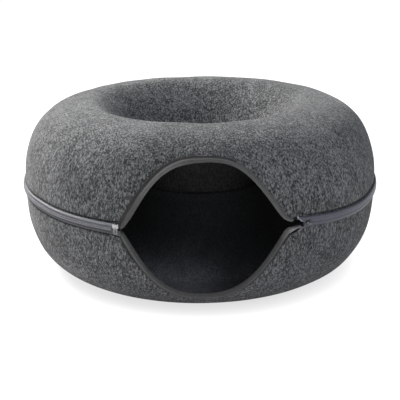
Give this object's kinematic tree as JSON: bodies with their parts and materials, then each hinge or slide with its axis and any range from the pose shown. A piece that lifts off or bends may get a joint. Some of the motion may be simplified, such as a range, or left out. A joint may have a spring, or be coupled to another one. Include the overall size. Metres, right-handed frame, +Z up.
{
  "type": "donut cat house",
  "caption": "Felt donut cat house: a hollow ring with a bound, lens-shaped entrance, a hole in the middle and a zip round the outside joining its upper and lower halves.",
  "frame": {"origin": "middle of the footprint's bounding box, on the floor; the ring's axis is 11 mm in front of it", "axes": "+Z up along the hole's axis, -Y out of the entrance, +X to the right of someone facing the entrance"},
  "size_m": [0.6096, 0.5884, 0.28],
  "materials": {
    "felt": "heathered charcoal felt",
    "binding_tape": "dark woven tape",
    "zip_tape": "satin woven tape",
    "zip_chain": "semi-matt nylon",
    "thread": "pale sewing thread",
    "slider": "satin grey"
  },
  "bodies": {
    "root": {"upper_shell": "felt", "lower_shell": "felt", "upper_binding": "binding_tape", "lower_binding": "binding_tape", "upper_zip_tape": "zip_tape", "lower_zip_tape": "zip_tape", "zip_chain": "zip_chain", "zip_end_tack": "thread", "zip_slider": "slider"}
  },
  "joints": []
}
